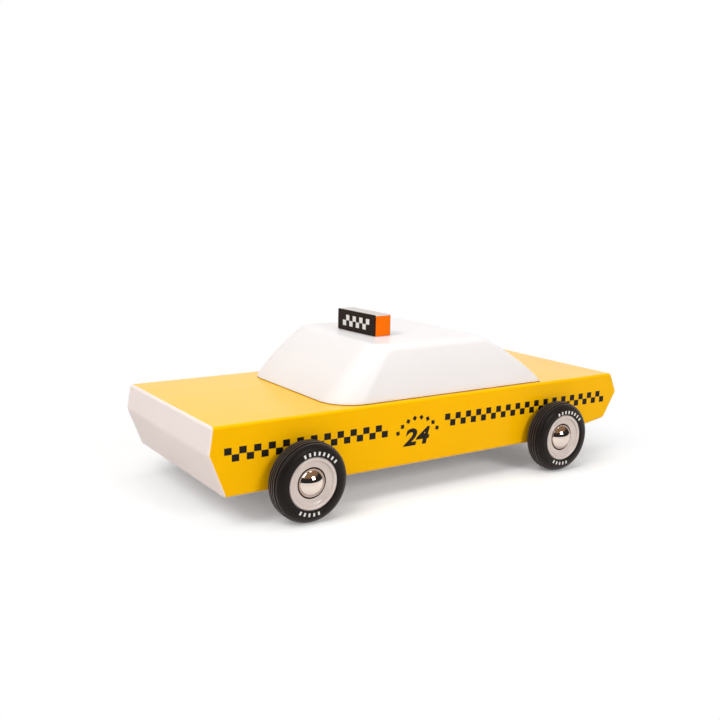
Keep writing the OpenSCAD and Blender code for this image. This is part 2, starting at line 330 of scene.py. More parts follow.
def bare_beech(name):
    finish, tree, shader = new_finish(name)
    grain = add_noise(tree, BEECH_GRAIN_MM, 5.0, BEECH_GRAIN_DRAW)
    tree.links.new(two_tone(tree, grain, BEECH_LIGHT, BEECH_DARK), shader.inputs["Base Color"])
    tree.links.new(spread(tree, grain, *BEECH_GLOSS), shader.inputs["Roughness"])
    add_bumps(tree, shader, [(grain, BEECH_BUMP, BEECH_HEIGHT_MM)])
    return finish


chrome = metal(
    "hubcap_chrome", (0.76, 0.65, 0.58), drift=0.97, grain_mm=2.5, draw=EVEN_MARKS,
    gloss=(0.02, 0.05), bump=0.02,
)
ground_steel = metal(
    "ground_steel", (0.55, 0.55, 0.56), drift=0.8, grain_mm=0.12, draw=GROUND_MARKS,
    gloss=(0.29, 0.38), bump=0.2,
)
nickel_plate = metal(
    "nickel_plate", (0.62, 0.6, 0.57), drift=0.92, grain_mm=1.2, draw=EVEN_MARKS,
    gloss=(0.14, 0.24), bump=0.05,
)
bare_wood = bare_beech("bare_beech")
print("made three metals and one wood")

# %% [markdown]
# ## Finishing a piece
# Each piece ends the same way: doubles are merged, the faces are turned outwards, the mesh gets its
# finishes and the object is seated on the body that carries it. Weighted normals keep the big flat faces
# flat while the small faces of a bevel take the turn of the light, which is what a sanded edge looks like.

# %% Helper that finishes a piece
MERGE = 0.0005 * MM
FLAT_FACE_WEIGHT = 60


def finish_piece(bm, name, body, finishes, nodes=()):
    bmesh.ops.remove_doubles(bm, verts=bm.verts, dist=MERGE)
    bmesh.ops.recalc_face_normals(bm, faces=bm.faces)
    for face in bm.faces:
        face.smooth = True
    mesh = bpy.data.meshes.new(name)
    bm.to_mesh(mesh)
    bm.free()
    for finish in finishes:
        mesh.materials.append(finish)
    piece = bpy.data.objects.new(name, mesh)
    bpy.context.scene.collection.objects.link(piece)
    shading = piece.modifiers.new("even_shading", "WEIGHTED_NORMAL")
    shading.weight = FLAT_FACE_WEIGHT
    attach(piece, body)
    if nodes:
        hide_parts(*nodes)
    print(name, "has", len(mesh.polygons), "faces and rides on", body)
    return piece


# %% [markdown]
# ## The body block
# The body is one block sawn to a side outline and sanded. It could be carved from a box, but its side
# outline says it all: seven corners, raised across the width. Then every edge is bevelled at once. The
# same bevel comes out tighter on a square edge and softer on a blunt one, just as a sanding pad leaves it.
# The nose facets are a warm white, the underside is white, the upper tail facet is a red band and the
# lower one is white. So these faces get their paint before the bevel, which then splits each rounded edge
# between its neighbours. Only the nose's white runs on further round its edges, partly as the paint line
# and partly as a painted highlight along them.

# %% Body sizes
BODY_LENGTH = 184 * MM
NOSE_EDGE_HEIGHT = 14.4 * MM
NOSE_TOP_BACK = 1.4 * MM
NOSE_FOOT_BACK = 5.6 * MM
TAIL_EDGE_HEIGHT = 15.4 * MM
TAIL_TOP_BACK = 3.7 * MM
TAIL_FOOT_HEIGHT = 4.9 * MM
TAIL_FOOT_BACK = 6.6 * MM
BODY_EDGE = 1.0 * MM
BODY_EDGE_STEPS = 6
EDGE_SHARE = 0.35
FACING_SHARE = 0.5

body_low, body_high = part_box("body_block")
HALF_WIDTH = body_high.x
UNDERSIDE = body_low.z
DECK = body_high.z
NOSE = -BODY_LENGTH / 2
TAIL = BODY_LENGTH / 2
axle_low, axle_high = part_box("rear_axle")
RISE_START = (axle_low.y + axle_high.y) / 2
print("the body is", round(2 * HALF_WIDTH / MM, 1), "mm wide and its deck is", round(DECK / MM, 1), "mm up")

# %% Body block
YELLOW, WHITE, RED, WARM_WHITE = 0, 1, 2, 3


def body_paint(face):
    """Paint of a flat face of the block, from the way it faces."""
    if face.normal.y < -FACING_SHARE:
        return WARM_WHITE
    if face.normal.y > FACING_SHARE:
        return RED if face.normal.z > 0 else WHITE
    return WHITE if face.normal.z < -FACING_SHARE else YELLOW


def make_body():
    outline = [
        (NOSE, UNDERSIDE + NOSE_EDGE_HEIGHT),
        (NOSE + NOSE_FOOT_BACK, UNDERSIDE),
        (RISE_START, UNDERSIDE),
        (TAIL - TAIL_FOOT_BACK, UNDERSIDE + TAIL_FOOT_HEIGHT),
        (TAIL, UNDERSIDE + TAIL_EDGE_HEIGHT),
        (TAIL - TAIL_TOP_BACK, DECK),
        (NOSE + NOSE_TOP_BACK, DECK),
    ]
    bm = bmesh.new()
    side = bm.faces.new([bm.verts.new((-HALF_WIDTH, y, z)) for y, z in outline])
    raised = bmesh.ops.extrude_face_region(bm, geom=[side], use_keep_orig=True)["geom"]
    corners = [item for item in raised if isinstance(item, bmesh.types.BMVert)]
    bmesh.ops.translate(bm, vec=(2 * HALF_WIDTH, 0, 0), verts=corners)
    bmesh.ops.recalc_face_normals(bm, faces=bm.faces)
    for face in bm.faces:
        face.material_index = body_paint(face)
    bmesh.ops.bevel(
        bm, geom=bm.edges[:], offset=BODY_EDGE, segments=BODY_EDGE_STEPS,
        profile=0.5, affect="EDGES", material=-1,
    )
    bm.normal_update()
    # Every bevel face that looks forward takes the nose white: partly the paint line, partly a painted
    # highlight along the nose's edges.
    for face in bm.faces:
        if face.normal.y < -EDGE_SHARE:
            face.material_index = WARM_WHITE
    paints = [taxi_yellow, cabin_white, tail_red, nose_white]
    return finish_piece(bm, "painted_body", "car", paints, ["body_block"])


make_body()

# %% [markdown]
# ## The checks along the sides
# Two rows of black squares run along each side, broken at the door. They could be painted in the material,
# but a print is a real film of ink with a crisp edge, so each square is a very thin slab that stands a few
# hundredths of a millimetre proud. The upper row starts each strip and the lower row ends it.

# %% Check strips
INK_SINK = 0.04 * MM
INK_PROUD = 0.02 * MM
CHECK_GAP = 0.02 * MM
CHECK_STRIPS = [
    {"start": -86.4 * MM, "end": -24.6 * MM, "columns": 24, "middle": 24.55 * MM, "row": 2.31 * MM},
    {"start": 0.6 * MM, "end": 84.3 * MM, "columns": 34, "middle": 25.05 * MM, "row": 2.38 * MM},
]


def add_slab(bm, place, size):
    """Adds a thin box: place is the matrix of its middle."""
    bmesh.ops.create_cube(bm, size=1, matrix=place @ Matrix.Diagonal((*size, 1)))


def side_place(side, y, z):
    """Place on a side of the body: x reads along the print, y points up and z stands out of the paint."""
    reading = Matrix(((0, 0, side), (side, 0, 0), (0, 1, 0))).to_4x4()
    out = HALF_WIDTH + (INK_PROUD - INK_SINK) / 2
    return Matrix.Translation((side * out, y, z)) @ reading


def make_checks(side, name):
    bm = bmesh.new()
    thickness = INK_SINK + INK_PROUD
    for strip in CHECK_STRIPS:
        length = (strip["end"] - strip["start"]) / strip["columns"]
        size = (length - CHECK_GAP, strip["row"] - CHECK_GAP, thickness)
        for column in range(strip["columns"]):
            y = strip["start"] + (column + 0.5) * length
            z = strip["middle"] + (0.5 if column % 2 == 0 else -0.5) * strip["row"]
            add_slab(bm, side_place(side, y, z), size)
    return finish_piece(bm, name, "car", [black_ink])


make_checks(1, "left_checks")
make_checks(-1, "right_checks")

# %% [markdown]
# ## The door number
# Between the strips each door has a plain number under an arc of small lozenges. The number starts as a
# text object, which Blender can give a thickness, and is made a mesh before it is put on the door. The
# lozenges are square slabs turned on their corners, spaced round the arc by a loop.

# %% Door number and its arc of lozenges
DOOR_NUMBER = "24"
NUMBER_PLACE = (-12.4 * MM, 20.4 * MM)
NUMBER_SIZE = 8.2 * MM
NUMBER_BOLD = 0.3 * MM
NUMBER_SLANT = 0.2
NUMBER_WIDEN = 1.3
ARC_PLACE = (-11.6 * MM, 17.4 * MM)
ARC_RADIUS = 10.2 * MM
ARC_SPAN = math.radians(116)
LOZENGE_COUNT = 8
LOZENGE_SIZE = 1.4 * MM
LOZENGE_TURN = math.radians(45)


def number_mesh(text, size, bold, thickness):
    """Closed mesh of a number that lies on z = 0 and reads along x."""
    curve = bpy.data.curves.new("number_outline", "FONT")
    curve.body = text
    curve.size = size
    curve.offset = bold
    curve.shear = NUMBER_SLANT
    curve.extrude = thickness / 2
    curve.align_x = "CENTER"
    curve.align_y = "CENTER"
    holder = bpy.data.objects.new("number_outline", curve)
    bpy.context.scene.collection.objects.link(holder)
    depsgraph = bpy.context.evaluated_depsgraph_get()
    mesh = bpy.data.meshes.new_from_object(holder.evaluated_get(depsgraph))
    bpy.data.objects.remove(holder)
    return mesh


def make_door_print(side, name):
    bm = bmesh.new()
    thickness = INK_SINK + INK_PROUD
    bm.from_mesh(number_mesh(DOOR_NUMBER, NUMBER_SIZE, NUMBER_BOLD, thickness))
    widen = Matrix.Diagonal((NUMBER_WIDEN, 1, 1, 1))
    bmesh.ops.transform(bm, matrix=side_place(side, *NUMBER_PLACE) @ widen, verts=bm.verts)
    for count in range(LOZENGE_COUNT):
        turn = ARC_SPAN * (count / (LOZENGE_COUNT - 1) - 0.5)
        y = ARC_PLACE[0] + ARC_RADIUS * math.sin(turn)
        z = ARC_PLACE[1] + ARC_RADIUS * math.cos(turn)
        corner = Matrix.Rotation(LOZENGE_TURN - side * turn, 4, "Z")
        add_slab(bm, side_place(side, y, z) @ corner, (LOZENGE_SIZE, LOZENGE_SIZE, thickness))
    return finish_piece(bm, name, "car", [black_ink])


make_door_print(1, "left_door_print")
make_door_print(-1, "right_door_print")

# %% [markdown]
# ## The cabin block
# The cabin is a second block with a leaning windscreen, a longer and slightly swollen rear screen, sides
# that lean in a little, and a roof edge sanded round. It could be a bevelled box, but the screens lean so
# differently that one bevel would not suit them all. So it is drawn as rings: a base ring with rounded
# corners is extruded up, and each corner of each new ring is moved to where its two flanks have leaned to.
# The first step is a fine undercut whose faces carry painted shade, a dark brown line where the block is
# glued on.

# %% Cabin sizes
WINDSCREEN_RUN = 17.0 * MM
REAR_SCREEN_RUN = 23.3 * MM
SIDE_LEAN = 3.8 * MM
ROOF_EDGE = 3.8 * MM
WINDSCREEN_SWELL = 0.1 * MM
REAR_SCREEN_SWELL = 1.0 * MM
FRONT_CORNERS = (12.0 * MM, 8.8 * MM)
REAR_CORNERS = (0.8 * MM, 4.2 * MM)
LEAST_CORNER = 0.3 * MM
SEAM = 0.3 * MM
FLANK_STEPS = 14
ROOF_STEPS = 14
TOUCH_STEPS = 200
BEND_HALVINGS = 40
CORNER_STEPS = 10

cabin_low, cabin_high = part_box("cabin_block")
CABIN_HEIGHT = cabin_high.z - DECK
ROUND_START = CABIN_HEIGHT - ROOF_EDGE
print("the cabin is", round(CABIN_HEIGHT / MM, 1), "mm high")


def flank(run, swell):
    """Returns how far a flank has leaned in at a height: a swollen slope that runs into the roof edge.

    The slope starts at the deck, passes half the height at half the run less the swell, and its bend is
    searched for until it only just touches the round of the roof edge.
    """
    half_height = CABIN_HEIGHT / 2
    heights = [ROUND_START + ROOF_EDGE * step / TOUCH_STEPS for step in range(TOUCH_STEPS + 1)]

    def round_lean(height):
        return run + ROOF_EDGE - math.sqrt(max(ROOF_EDGE ** 2 - (height - ROUND_START) ** 2, 0))

    def slope_lean(height, bend):
        return height * (run / 2 - swell) / half_height + bend * height * (height - half_height)

    low, high = 0.0, run / CABIN_HEIGHT / half_height
    for _ in range(BEND_HALVINGS):
        bend = (low + high) / 2
        crosses = any(slope_lean(height, bend) > round_lean(height) for height in heights)
        low, high = (low, bend) if crosses else (bend, high)
    touch = max(heights, key=lambda height: slope_lean(height, low) - round_lean(height))
    return lambda height: slope_lean(height, low) if height < touch else round_lean(height)


windscreen_lean = flank(WINDSCREEN_RUN, WINDSCREEN_SWELL)
rear_screen_lean = flank(REAR_SCREEN_RUN, REAR_SCREEN_SWELL)
side_lean = flank(SIDE_LEAN, 0)

# %% Cabin block
PAINTED, SEAM_SHADE = 0, 1


def cabin_corners(height, inset=0.0):
    """Centre and radius of the four corner rounds of the cabin's ring at a height, keyed by their signs."""
    climb = min(height / ROUND_START, 1)
    over = max(height - ROUND_START, 0)
    shrink = ROOF_EDGE - math.sqrt(max(ROOF_EDGE ** 2 - over ** 2, 0)) + inset
    half = cabin_high.x - side_lean(height) - inset
    ends = {
        -1: (cabin_low.y + windscreen_lean(height) + inset, FRONT_CORNERS),
        1: (cabin_high.y - rear_screen_lean(height) - inset, REAR_CORNERS),
    }
    corners = {}
    for end, (y, (at_deck, at_roof)) in ends.items():
        radius = max(at_deck + (at_roof - at_deck) * climb - shrink, LEAST_CORNER)
        for side in (-1, 1):
            place = Vector((side * (half - radius), y - end * radius, DECK + height))
            corners[side, end] = (place, radius)
    return corners


def move_ring(bm, ring, before, after):
    """Moves the corners of a ring from where they are on one level to where they are on the next."""
    middle = (before[1, -1][0].y + before[1, 1][0].y) / 2
    for (side, end), (place, radius) in before.items():
        new_place, new_radius = after[side, end]
        grow = Matrix.Diagonal((new_radius / radius, new_radius / radius, 1, 1))
        step = Matrix.Translation(new_place) @ grow @ Matrix.Translation(-place)
        group = [v for v in ring if v.co.x * side > 0 and (v.co.y - middle) * end > 0]
        bmesh.ops.transform(bm, matrix=step, verts=group)


def make_cabin():
    levels = [cabin_corners(0, SEAM), cabin_corners(SEAM)]
    levels += [cabin_corners(ROUND_START * step / FLANK_STEPS) for step in range(1, FLANK_STEPS + 1)]
    turns = [math.radians(90) * step / ROOF_STEPS for step in range(1, ROOF_STEPS + 1)]
    levels += [cabin_corners(ROUND_START + ROOF_EDGE * math.sin(turn)) for turn in turns]

    bm = bmesh.new()
    base = levels[0]
    order = [(-1, -1), (1, -1), (1, 1), (-1, 1)]
    reach = {key: base[key][0] + Vector((key[0], key[1], 0)) * base[key][1] for key in order}
    corners = [bm.verts.new(reach[key]) for key in order]
    bm.faces.new(corners)
    for key, corner in zip(order, corners):
        bmesh.ops.bevel(
            bm, geom=[corner], offset=base[key][1], segments=CORNER_STEPS,
            profile=0.5, affect="VERTICES", material=-1,
        )
    rim = bm.edges[:]
    for before, after in zip(levels, levels[1:]):
        raised = bmesh.ops.extrude_edge_only(bm, edges=rim)["geom"]
        for face in raised:
            if isinstance(face, bmesh.types.BMFace):
                # The faces of the undercut take the painted seam shade.
                face.material_index = SEAM_SHADE if before is base else PAINTED
        rim = [item for item in raised if isinstance(item, bmesh.types.BMEdge)]
        ring = [item for item in raised if isinstance(item, bmesh.types.BMVert)]
        move_ring(bm, ring, before, after)
    bmesh.ops.edgeloop_fill(bm, edges=rim)
    return finish_piece(
        bm, "painted_cabin", "car", [cabin_white, seam_shade], ["cabin_block"]
    )


make_cabin()

# %% [markdown]
# ## The wheels
# A tyre, a rim and a hubcap are all turned shapes. Each is drawn once as a section, with its height along
# the axle and its radius up, and spun round the axle. A small pen draws the section with two moves, a line
# and an arc, so that every round in it is a true arc. The right-hand wheels are turned half round, not
# mirrored, so nothing comes out inside out.

# %% A pen for turned sections
WHEEL_STEPS = 180


class SectionPen:
    """Draws the half section of a turned piece: x is the height along the axle and z the radius."""

    def __init__(self, bm, height, radius):
        self.bm = bm
        self.first = self.tip = bm.verts.new((height, 0, radius))

    def line(self, height, radius):
        grown = bmesh.ops.extrude_vert_indiv(self.bm, verts=[self.tip])
        self.tip = grown["verts"][0]
        self.tip.co = (height, 0, radius)

    def arc(self, height, radius, degrees, steps):
        """Goes round a centre, clockwise when the height points right and the radius up."""
        turned = bmesh.ops.spin(
            self.bm, geom=[self.tip], cent=(height, 0, radius), axis=(0, 1, 0),
            angle=math.radians(degrees), steps=steps, use_merge=False, use_duplicate=False,
        )
        self.tip = [item for item in turned["geom_last"] if isinstance(item, bmesh.types.BMVert)][0]

    def close(self):
        self.bm.edges.new((self.tip, self.first))


def turn_section(bm):
    """Spins the drawn section once round the axle."""
    bmesh.ops.spin(
        bm, geom=bm.verts[:] + bm.edges[:], cent=(0, 0, 0), axis=(1, 0, 0),
        angle=math.radians(360), steps=WHEEL_STEPS, use_merge=True, use_duplicate=False,
    )
    bmesh.ops.remove_doubles(bm, verts=bm.verts, dist=MERGE)


def wheel_place(tyre_node):
    """Place of a wheel whose height starts at the inner side of its tyre."""
    low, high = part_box(tyre_node)
    middle = (low + high) / 2
    inner = low.x if middle.x > 0 else high.x
    turn = Matrix.Identity(4) if middle.x > 0 else Matrix.Rotation(math.radians(180), 4, "Z")
    return Matrix.Translation((inner, middle.y, middle.z)) @ turn


tyre_low, tyre_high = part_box("front_left_tyre")
TYRE_WIDTH = tyre_high.x - tyre_low.x
TYRE_RADIUS = (tyre_high.z - tyre_low.z) / 2
print("a tyre is", round(TYRE_WIDTH / MM, 1), "mm wide and", round(2 * TYRE_RADIUS / MM, 1), "mm across")

# %% [markdown]
# ## The tyres
# The tread is nearly flat, with fine grooves from shoulder to shoulder, and the big round shoulders run
# down to the sidewall. The sidewall carries two arcs of short white marks. They are faces of the tyre
# itself with ink on them, so they follow the rubber exactly.

# %% Tyres
SHOULDER = 3.2 * MM
SHOULDER_STEPS = 8
BEAD = 0.5 * MM
BEAD_STEPS = 6
RIM_RADIUS = (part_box("front_left_rim")[1].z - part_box("front_left_rim")[0].z) / 2
DRUM_RADIUS = 8.3 * MM
TYRE_FIT = 0.02 * MM
LIP_WIDTH = 1.4 * MM
LIP_SET = 0.3 * MM
GROOVE_COUNT = 5
GROOVE_WIDTH = 0.45 * MM
GROOVE_DEPTH = 0.35 * MM
GROOVE_PITCH = 1.15 * MM
MARK_BAND = (9.5 * MM, 10.7 * MM)
MARK_ARCS = [{"middle": 15, "count": 8}, {"middle": 190, "count": 5}]
MARK_PITCH_DEGREES = 10
MARK_WIDTH_DEGREES = 4
MARK_DEPTH = SHOULDER / 4
RUBBER, MARKED = 0, 1


def is_marked(face):
    """Says whether a face of the sidewall lies in one of the printed marks."""
    place = face.calc_center_median()
    radius = math.hypot(place.y, place.z)
    if place.x < TYRE_WIDTH - MARK_DEPTH or not MARK_BAND[0] < radius < MARK_BAND[1]:
        return False
    around = math.degrees(math.atan2(place.y, place.z))
    for arc in MARK_ARCS:
        away = (around - arc["middle"] + 180) % 360 - 180
        step = away / MARK_PITCH_DEGREES + (arc["count"] - 1) / 2
        nearest = round(step)
        if 0 <= nearest < arc["count"] and abs(step - nearest) * MARK_PITCH_DEGREES < MARK_WIDTH_DEGREES / 2:
            return True
    return False


def tread_radius(height):
    """Radius of the tyre without its grooves: flat in the middle and round at both shoulders."""
    over = max(abs(height - TYRE_WIDTH / 2) - TYRE_WIDTH / 2 + SHOULDER, 0)
    return TYRE_RADIUS - SHOULDER + math.sqrt(SHOULDER ** 2 - over ** 2)


def draw_tyre(bm):
    bore = DRUM_RADIUS + TYRE_FIT
    lip_seat = RIM_RADIUS + TYRE_FIT
    lip_foot = TYRE_WIDTH - LIP_SET - LIP_WIDTH
    first_edge = (TYRE_WIDTH - (GROOVE_COUNT - 1) * GROOVE_PITCH - GROOVE_WIDTH) / 2
    shoulder_turn = math.degrees(math.acos(1 - first_edge / SHOULDER))
    pen = SectionPen(bm, 0, bore + BEAD)
    pen.line(0, TYRE_RADIUS - SHOULDER)
    pen.arc(SHOULDER, TYRE_RADIUS - SHOULDER, shoulder_turn, SHOULDER_STEPS)
    for groove in range(GROOVE_COUNT):
        middle = TYRE_WIDTH / 2 + (groove - (GROOVE_COUNT - 1) / 2) * GROOVE_PITCH
        for edge, depth in ((-1, 0), (-1, GROOVE_DEPTH), (1, GROOVE_DEPTH), (1, 0)):
            height = middle + edge * GROOVE_WIDTH / 2
            pen.line(height, tread_radius(height) - depth)
    pen.arc(TYRE_WIDTH - SHOULDER, TYRE_RADIUS - SHOULDER, shoulder_turn, SHOULDER_STEPS)
    pen.line(TYRE_WIDTH, MARK_BAND[0])
    pen.line(TYRE_WIDTH, lip_seat + BEAD)
    pen.arc(TYRE_WIDTH - BEAD, lip_seat + BEAD, 90, BEAD_STEPS)
    pen.line(lip_foot, lip_seat)
    pen.line(lip_foot, bore)
    pen.line(BEAD, bore)
    pen.arc(BEAD, bore + BEAD, 90, BEAD_STEPS)
    pen.close()


def make_tyre(name, body):
    bm = bmesh.new()
    draw_tyre(bm)
    turn_section(bm)
    for face in bm.faces:
        face.material_index = MARKED if is_marked(face) else RUBBER
    bmesh.ops.transform(bm, matrix=wheel_place(name), verts=bm.verts)
    finish_piece(bm, "moulded_" + name, body, [tyre_rubber, white_ink], [name])


# %% [markdown]
# ## The rims
# A rim is a plain drum inside the tyre and a shallow bowl outside: a round bead as its lip, one long curve
# that falls to the hubcap, and a sunk seat with a fine gap round the hubcap. The seat is painted near black,
# a painted shade that makes that gap read as a dark line.

# %% Rims
DISH_DEPTH = 1.4 * MM
LIP_STEPS = 14
BOWL_STEPS = 12
AXLE_RADIUS = (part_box("front_axle")[1].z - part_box("front_axle")[0].z) / 2
HUBCAP_RADIUS = (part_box("front_left_hubcap")[1].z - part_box("front_left_hubcap")[0].z) / 2
HUBCAP_GAP = 0.35 * MM
SEAT_DEPTH = 0.8 * MM
LIP_HEIGHT = TYRE_WIDTH - LIP_SET
DISH_FLOOR = LIP_HEIGHT - DISH_DEPTH
SEAT_FLOOR = DISH_FLOOR - SEAT_DEPTH
PLASTIC, SEAT_SHADE = 0, 1


def is_in_seat(face, seat):
    place = face.calc_center_median()
    return SEAT_FLOOR - MERGE < place.x < DISH_FLOOR and math.hypot(place.y, place.z) < seat


def make_rim(name, tyre_node, body):
    half_lip = LIP_WIDTH / 2
    seat = HUBCAP_RADIUS + HUBCAP_GAP
    bowl_width = RIM_RADIUS - LIP_WIDTH - seat
    bowl_depth = DISH_DEPTH - half_lip
    bowl_radius = (bowl_width ** 2 + bowl_depth ** 2) / (2 * bowl_depth)
    bowl_turn = math.degrees(math.asin(bowl_width / bowl_radius))
    bm = bmesh.new()
    pen = SectionPen(bm, 0, AXLE_RADIUS)
    pen.line(0, DRUM_RADIUS)
    pen.line(LIP_HEIGHT - LIP_WIDTH, DRUM_RADIUS)
    pen.line(LIP_HEIGHT - LIP_WIDTH, RIM_RADIUS)
    pen.line(LIP_HEIGHT - half_lip, RIM_RADIUS)
    pen.arc(LIP_HEIGHT - half_lip, RIM_RADIUS - half_lip, 180, LIP_STEPS)
    pen.arc(DISH_FLOOR + bowl_radius, seat, -bowl_turn, BOWL_STEPS)
    pen.line(SEAT_FLOOR, seat)
    pen.line(SEAT_FLOOR, AXLE_RADIUS)
    pen.close()
    turn_section(bm)
    for face in bm.faces:
        # The seat faces take the painted shade, so the gap round the hubcap reads dark.
        face.material_index = SEAT_SHADE if is_in_seat(face, seat) else PLASTIC
    bmesh.ops.transform(bm, matrix=wheel_place(tyre_node), verts=bm.verts)
    finish_piece(bm, "dished_" + name, body, [rim_plastic, seat_shade], [name])


# %% [markdown]
# ## The hubcaps
# Each hubcap is a shallow chromed dome on a short skirt, pressed over the end of the axle. Its section is
# one arc from the skirt to the top, with the blind bore for the axle drawn too.

# %% Hubcaps
DOME_HEIGHT = 2.8 * MM
AXLE_TIP = 1.6 * MM
SKIRT_ROUND = 0.2 * MM
SKIRT_STEPS = 4
DOME_STEPS = 24
DOME_RADIUS = (HUBCAP_RADIUS ** 2 + DOME_HEIGHT ** 2) / (2 * DOME_HEIGHT)


def make_hubcap(name, tyre_node, body):
    dome_span = math.degrees(math.asin(HUBCAP_RADIUS / DOME_RADIUS))
    bm = bmesh.new()
    pen = SectionPen(bm, SEAT_FLOOR + AXLE_TIP, 0)
    pen.line(SEAT_FLOOR + AXLE_TIP, AXLE_RADIUS)
    pen.line(SEAT_FLOOR, AXLE_RADIUS)
    pen.line(SEAT_FLOOR, HUBCAP_RADIUS - SKIRT_ROUND)
    pen.arc(SEAT_FLOOR + SKIRT_ROUND, HUBCAP_RADIUS - SKIRT_ROUND, 90, SKIRT_STEPS)
    pen.line(DISH_FLOOR, HUBCAP_RADIUS)
    pen.arc(DISH_FLOOR + DOME_HEIGHT - DOME_RADIUS, 0, dome_span, DOME_STEPS)
    turn_section(bm)
    bmesh.ops.transform(bm, matrix=wheel_place(tyre_node), verts=bm.verts)
    finish_piece(bm, "domed_" + name, body, [chrome], [name])


# %% [markdown]
# ## Four wheels
# All four wheels are the same three pieces, so they could be copies of one. Here each is made in its own
# place by a short loop, because a finished piece keeps its place in its mesh, and rides on the body of its
# own axle.

# %% Four wheels
for axle_end in ("front", "rear"):
    for hand in ("left", "right"):
        wheel = f"{axle_end}_{hand}"
        wheel_body = f"{axle_end}_wheels"
        make_tyre(wheel + "_tyre", wheel_body)
        make_rim(wheel + "_rim", wheel + "_tyre", wheel_body)
        make_hubcap(wheel + "_hubcap", wheel + "_tyre", wheel_body)

# %% [markdown]
# ## The roof sign
# The sign is a small orange block with black faces and a pale top. It stands loose on its magnet, a few
# degrees out of square. A cube is sized, bevelled all round and turned into place, and each face gets its
# paint from the way it looks. Each black face carries a plain band of white checks.

# %% Roof sign
SIGN_SIZE = (24 * MM, 7.4 * MM, 8 * MM)
SIGN_EDGE = 0.5 * MM
SIGN_EDGE_STEPS = 5
SIGN_TURN = math.radians(3)
SIGN_CHECK = 2.1 * MM
SIGN_CHECK_COLUMNS = 8
SIGN_CHECK_ROWS = 2
ORANGE, BLACK, TOP_WHITE = 0, 1, 2

sign_low, sign_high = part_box("sign_block")
sign_middle = (sign_low + sign_high) / 2
SIGN_PLACE = Matrix.Translation(sign_middle) @ Matrix.Rotation(SIGN_TURN, 4, "Z")


def sign_paint(face):
    """Paint of a face of the sign, from the way it faces. The black and the white run round the edges."""
    if abs(face.normal.y) > EDGE_SHARE:
        return BLACK
    return TOP_WHITE if face.normal.z > EDGE_SHARE else ORANGE


def make_sign():
    bm = bmesh.new()
    bmesh.ops.create_cube(bm, size=1, matrix=Matrix.Diagonal((*SIGN_SIZE, 1)))
    bmesh.ops.bevel(
        bm, geom=bm.edges[:], offset=SIGN_EDGE, segments=SIGN_EDGE_STEPS,
        profile=0.5, affect="EDGES", material=-1,
    )
    bm.normal_update()
    for face in bm.faces:
        face.material_index = sign_paint(face)
    bmesh.ops.transform(bm, matrix=SIGN_PLACE, verts=bm.verts)
    paints = [sign_orange, sign_black, sign_top]
    return finish_piece(bm, "painted_sign", "sign", paints, ["sign_block"])


def make_sign_checks():
    bm = bmesh.new()
    size = (SIGN_CHECK - CHECK_GAP, INK_SINK + INK_PROUD, SIGN_CHECK - CHECK_GAP)
    for facing in (-1, 1):
        out = facing * (SIGN_SIZE[1] / 2 + (INK_PROUD - INK_SINK) / 2)
        for column in range(SIGN_CHECK_COLUMNS):
            for row in range(SIGN_CHECK_ROWS):
                if (column + row) % 2 == 0:
                    x = (column - (SIGN_CHECK_COLUMNS - 1) / 2) * SIGN_CHECK
                    z = (row - (SIGN_CHECK_ROWS - 1) / 2) * SIGN_CHECK
                    add_slab(bm, SIGN_PLACE @ Matrix.Translation((x, out, z)), size)
    return finish_piece(bm, "sign_checks", "sign", [white_ink])


make_sign()
make_sign_checks()

# %% [markdown]
# ## The hidden pieces
# Axles, bushes, dowels and magnets show only when the toy is taken apart or the sign is lifted. Their
# solids are already right, so they keep them and only get a finish on their material slots.

# %% Finishes of the hidden pieces
HIDDEN_FINISHES = {
    "axle_steel": ground_steel,
    "bush_plastic": bush_plastic,
    "bare_wood": bare_wood,
    "magnet_nickel": nickel_plate,
}


def dress_node(node, finish):
    mesh = frame["nodes"][node].data
    if not mesh.materials:
        mesh.materials.append(finish)
    for index in range(len(mesh.materials)):
        mesh.materials[index] = finish


dressed = 0
for subpart in frame["record"]["subparts"]:
    hidden_finish = HIDDEN_FINISHES.get(subpart["material_slot"])
    if hidden_finish:
        dress_node(subpart["node"], hidden_finish)
        dressed += 1
print("dressed", dressed, "hidden pieces")

# %% [markdown]
# ## Helpers for light
# The floor and the world treat rays that are seen, straight or in a reflection, unlike the rays that only
# carry light. Light Path tells them apart. Two more helpers, one for a smooth step and one for the maths
# of two values, keep the node trees below short.

# %% Helpers for light


def add_ramp(tree, source, span, low, high):
    """Smooth step from low to high while a value goes over a span."""
    node = tree.nodes.new("ShaderNodeMapRange")
    node.interpolation_type = "SMOOTHSTEP"
    node.inputs["From Min"].default_value, node.inputs["From Max"].default_value = span
    node.inputs["To Min"].default_value = low
    node.inputs["To Max"].default_value = high
    tree.links.new(source, node.inputs["Value"])
    return node.outputs["Result"]


def add_maths(tree, operation, first, second):
    node = tree.nodes.new("ShaderNodeMath")
    node.operation = operation
    tree.links.new(first, node.inputs[0])
    tree.links.new(second, node.inputs[1])
    return node.outputs["Value"]


def seen_rays(tree):
    """One for rays from the camera and for reflected or passed rays, zero for the rest."""
    rays = tree.nodes.new("ShaderNodeLightPath").outputs
    reflected = add_maths(tree, "MAXIMUM", rays["Is Glossy Ray"], rays["Is Transmission Ray"])
    return add_maths(tree, "MAXIMUM", rays["Is Camera Ray"], reflected)


print("rays that are seen are told from rays that carry light")

# %% [markdown]
# ## The floor
# A product picture wants a white sweep with a soft shadow. The floor is a plain white sheet, and for rays
# that are seen it also glows: a little near the toy, a painted light that lifts the shadow, and up to the
# white of the background further out. To the rays that only carry light it is darker and a little warm,
# which sets the light it bounces back to the toy.

# %% Floor
FLOOR_REACH = 4.0
FLOOR_FADE = (0.055, 0.15)
FLOOR_SHADOW_GLOW = 0.12
FLOOR_WHITE = (0.97, 0.97, 0.97)
FLOOR_BOUNCE = (0.7, 0.65, 0.62)
FLOOR_ROUGHNESS = 0.9


